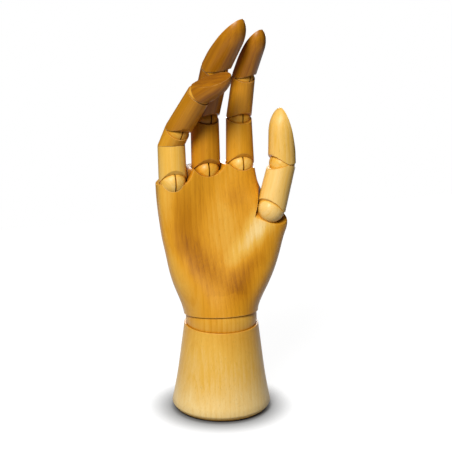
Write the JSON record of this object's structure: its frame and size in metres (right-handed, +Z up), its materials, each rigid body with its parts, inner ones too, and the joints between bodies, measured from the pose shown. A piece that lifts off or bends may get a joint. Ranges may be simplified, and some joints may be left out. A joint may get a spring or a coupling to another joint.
{
  "type": "wooden hand mannequin",
  "caption": "Jointed wooden hand on a turned foot: carved palm on a wrist ball, slim fingers and thumb of turned pieces on slotted wooden balls.",
  "frame": {"origin": "middle of the foot's flat resting face", "axes": "+Z up the foot's axis, palm facing -Y, thumb on the +X side"},
  "size_m": [0.1018, 0.0736, 0.2944],
  "materials": {
    "maple": "satin",
    "maple_ball": "satin",
    "steel": "satin",
    "spring_steel": "satin"
  },
  "bodies": {
    "foot": {"foot": "maple", "foot_plug": "maple", "foot_rod": "steel", "wrist_spring": "spring_steel", "wrist_washer": "steel", "wrist_nut": "steel"},
    "wrist_ball": {"wrist_ball": "maple_ball"},
    "palm": {"palm": "maple", "palm_rod": "steel", "little_finger_spring": "spring_steel", "little_finger_root_wire": "spring_steel", "middle_finger_spring": "spring_steel", "middle_finger_root_wire": "spring_steel", "index_finger_spring": "spring_steel", "index_finger_root_wire": "spring_steel", "thumb_spring": "spring_steel", "thumb_root_wire": "spring_steel"},
    "little_finger_lower_phalanx_ball": {"little_finger_lower_phalanx_ball": "maple_ball"},
    "little_finger_lower_phalanx": {"little_finger_lower_phalanx": "maple", "little_finger_lower_phalanx_wire": "spring_steel", "little_finger_elbow_pin": "steel"},
    "little_finger_elbow": {"little_finger_elbow": "maple", "little_finger_elbow_wire": "spring_steel"},
    "little_finger_upper_phalanx_ball": {"little_finger_upper_phalanx_ball": "maple_ball"},
    "little_finger_upper_phalanx": {"little_finger_upper_phalanx": "maple", "little_finger_upper_phalanx_wire": "spring_steel"},
    "little_finger_tip_ball": {"little_finger_tip_ball": "maple_ball"},
    "little_finger_tip": {"little_finger_tip": "maple", "little_finger_tip_wire": "spring_steel"},
    "middle_finger_lower_phalanx_ball": {"middle_finger_lower_phalanx_ball": "maple_ball"},
    "middle_finger_lower_phalanx": {"middle_finger_lower_phalanx": "maple", "middle_finger_lower_phalanx_wire": "spring_steel"},
    "middle_finger_upper_phalanx_ball": {"middle_finger_upper_phalanx_ball": "maple_ball"},
    "middle_finger_upper_phalanx": {"middle_finger_upper_phalanx": "maple", "middle_finger_upper_phalanx_wire": "spring_steel"},
    "middle_finger_tip_ball": {"middle_finger_tip_ball": "maple_ball"},
    "middle_finger_tip": {"middle_finger_tip": "maple", "middle_finger_tip_wire": "spring_steel"},
    "index_finger_lower_phalanx_ball": {"index_finger_lower_phalanx_ball": "maple_ball"},
    "index_finger_lower_phalanx": {"index_finger_lower_phalanx": "maple", "index_finger_lower_phalanx_wire": "spring_steel"},
    "index_finger_upper_phalanx_ball": {"index_finger_upper_phalanx_ball": "maple_ball"},
    "index_finger_upper_phalanx": {"index_finger_upper_phalanx": "maple", "index_finger_upper_phalanx_wire": "spring_steel"},
    "index_finger_tip_ball": {"index_finger_tip_ball": "maple_ball"},
    "index_finger_tip": {"index_finger_tip": "maple", "index_finger_tip_wire": "spring_steel"},
    "thumb_lower_phalanx_ball": {"thumb_lower_phalanx_ball": "maple_ball"},
    "thumb_lower_phalanx_wire": {"thumb_lower_phalanx_wire": "spring_steel"},
    "thumb_lower_phalanx": {"thumb_lower_phalanx": "maple"},
    "thumb_tip_ball": {"thumb_tip_ball": "maple_ball"},
    "thumb_tip": {"thumb_tip": "maple", "thumb_tip_wire": "spring_steel"}
  },
  "joints": [
    {"name": "wrist_turn", "type": "hinge", "parent": "foot", "child": "wrist_ball", "pos_m": [0, 0, 0.0707], "axis": [0, 0, 1], "continuous": true},
    {"name": "wrist_tilt", "type": "hinge", "parent": "wrist_ball", "child": "palm", "pos_m": [0, 0, 0.0707], "axis": [1, 0, 0], "range_deg": [-6, 24]},
    {"name": "little_finger_lower_phalanx_twist", "type": "hinge", "parent": "palm", "child": "little_finger_lower_phalanx_ball", "pos_m": [-0.0329, 0.01234, 0.17293], "axis": [0, 0.1564, 0.9877], "range_deg": [-15, 6]},
    {"name": "little_finger_lower_phalanx_bend", "type": "hinge", "parent": "little_finger_lower_phalanx_ball", "child": "little_finger_lower_phalanx", "pos_m": [-0.0329, 0.01234, 0.17293], "axis": [1, 0, 0], "range_deg": [-1, 22]},
    {"name": "little_finger_elbow_turn", "type": "hinge", "parent": "little_finger_lower_phalanx", "child": "little_finger_elbow", "pos_m": [-0.0329, 0.0161, 0.19967], "axis": [0, 0.1392, 0.9903], "range_deg": [-45, 6]},
    {"name": "little_finger_upper_phalanx_twist", "type": "hinge", "parent": "little_finger_elbow", "child": "little_finger_upper_phalanx_ball", "pos_m": [-0.02949, 0.01124, 0.21123], "axis": [0.2625, -0.3736, 0.8897], "range_deg": [-20, 15]},
    {"name": "little_finger_upper_phalanx_bend", "type": "hinge", "parent": "little_finger_upper_phalanx_ball", "child": "little_finger_upper_phalanx", "pos_m": [-0.02949, 0.01124, 0.21123], "axis": [0.9582, 0.2099, -0.1946], "range_deg": [-6, 20]},
    {"name": "little_finger_tip_twist", "type": "hinge", "parent": "little_finger_upper_phalanx", "child": "little_finger_tip_ball", "pos_m": [-0.01869, -0.01005, 0.24143], "axis": [0.2805, -0.5532, 0.7844], "range_deg": [-20, 20]},
    {"name": "little_finger_tip_bend", "type": "hinge", "parent": "little_finger_tip_ball", "child": "little_finger_tip", "pos_m": [-0.01869, -0.01005, 0.24143], "axis": [0.4297, 0.8031, 0.4128], "range_deg": [-20, 16]},
    {"name": "middle_finger_lower_phalanx_twist", "type": "hinge", "parent": "palm", "child": "middle_finger_lower_phalanx_ball", "pos_m": [-0.0069, 0.01616, 0.17911], "axis": [0, 0.1564, 0.9877], "range_deg": [-15, 2]},
    {"name": "middle_finger_lower_phalanx_bend", "type": "hinge", "parent": "middle_finger_lower_phalanx_ball", "child": "middle_finger_lower_phalanx", "pos_m": [-0.0069, 0.01616, 0.17911], "axis": [1, 0, 0], "range_deg": [-4, 4]},
    {"name": "middle_finger_upper_phalanx_twist", "type": "hinge", "parent": "middle_finger_lower_phalanx", "child": "middle_finger_upper_phalanx_ball", "pos_m": [-0.0069, 0.01956, 0.21796], "axis": [0, 0.0872, 0.9962], "range_deg": [-15, 4]},
    {"name": "middle_finger_upper_phalanx_bend", "type": "hinge", "parent": "middle_finger_upper_phalanx_ball", "child": "middle_finger_upper_phalanx", "pos_m": [-0.0069, 0.01956, 0.21796], "axis": [0.9613, 0.2746, -0.024], "range_deg": [-24, 8]},
    {"name": "middle_finger_tip_twist", "type": "hinge", "parent": "middle_finger_upper_phalanx", "child": "middle_finger_tip_ball", "pos_m": [-0.00247, 0.00732, 0.25525], "axis": [0.1121, -0.3099, 0.9441], "range_deg": [-20, 20]},
    {"name": "middle_finger_tip_bend", "type": "hinge", "parent": "middle_finger_tip_ball", "child": "middle_finger_tip", "pos_m": [-0.00247, 0.00732, 0.25525], "axis": [0.8718, 0.4866, 0.0562], "range_deg": [-15, 18]},
    {"name": "index_finger_lower_phalanx_twist", "type": "hinge", "parent": "palm", "child": "index_finger_lower_phalanx_ball", "pos_m": [0.0189, 0.01559, 0.18193], "axis": [0, 0.1564, 0.9877], "range_deg": [-3, 15]},
    {"name": "index_finger_lower_phalanx_bend", "type": "hinge", "parent": "index_finger_lower_phalanx_ball", "child": "index_finger_lower_phalanx", "pos_m": [0.0189, 0.01559, 0.18193], "axis": [1, 0, 0], "range_deg": [-3, 24]},
    {"name": "index_finger_upper_phalanx_twist", "type": "hinge", "parent": "index_finger_lower_phalanx", "child": "index_finger_upper_phalanx_ball", "pos_m": [0.0189, 0.01922, 0.21644], "axis": [0, 0.1045, 0.9945], "range_deg": [-3, 15]},
    {"name": "index_finger_upper_phalanx_bend", "type": "hinge", "parent": "index_finger_upper_phalanx_ball", "child": "index_finger_upper_phalanx", "pos_m": [0.0189, 0.01922, 0.21644], "axis": [0.9945, 0.104, -0.0109], "range_deg": [-20, 18]},
    {"name": "index_finger_tip_twist", "type": "hinge", "parent": "index_finger_upper_phalanx", "child": "index_finger_tip_ball", "pos_m": [0.02007, 0.01134, 0.24826], "axis": [0.0358, -0.2401, 0.9701], "range_deg": [-15, 20]},
    {"name": "index_finger_tip_bend", "type": "hinge", "parent": "index_finger_tip_ball", "child": "index_finger_tip", "pos_m": [0.02007, 0.01134, 0.24826], "axis": [0.9155, 0.3971, 0.0645], "range_deg": [-14, 18]},
    {"name": "thumb_lower_phalanx_swing", "type": "hinge", "parent": "palm", "child": "thumb_lower_phalanx_ball", "pos_m": [0.0375, -0.00147, 0.15092], "axis": [0.2857, 0.1499, 0.9465], "range_deg": [-106, 0]},
    {"name": "thumb_lower_phalanx_bend", "type": "hinge", "parent": "thumb_lower_phalanx_ball", "child": "thumb_lower_phalanx_wire", "pos_m": [0.0375, -0.00147, 0.15092], "axis": [0.4792, 0.833, -0.2766], "range_deg": [0, 15]},
    {"name": "thumb_lower_phalanx_twist", "type": "hinge", "parent": "thumb_lower_phalanx_wire", "child": "thumb_lower_phalanx", "pos_m": [0.0375, -0.00147, 0.15092], "axis": [0.2857, 0.1499, 0.9465], "range_deg": [-60, 60]},
    {"name": "thumb_tip_twist", "type": "hinge", "parent": "thumb_lower_phalanx", "child": "thumb_tip_ball", "pos_m": [0.04733, 0.00369, 0.18348], "axis": [0.2857, 0.1499, 0.9465], "range_deg": [-20, 20]},
    {"name": "thumb_tip_bend", "type": "hinge", "parent": "thumb_tip_ball", "child": "thumb_tip", "pos_m": [0.04733, 0.00369, 0.18348], "axis": [0.2318, -0.9692, 0.0835], "range_deg": [-16, 20]}
  ]
}
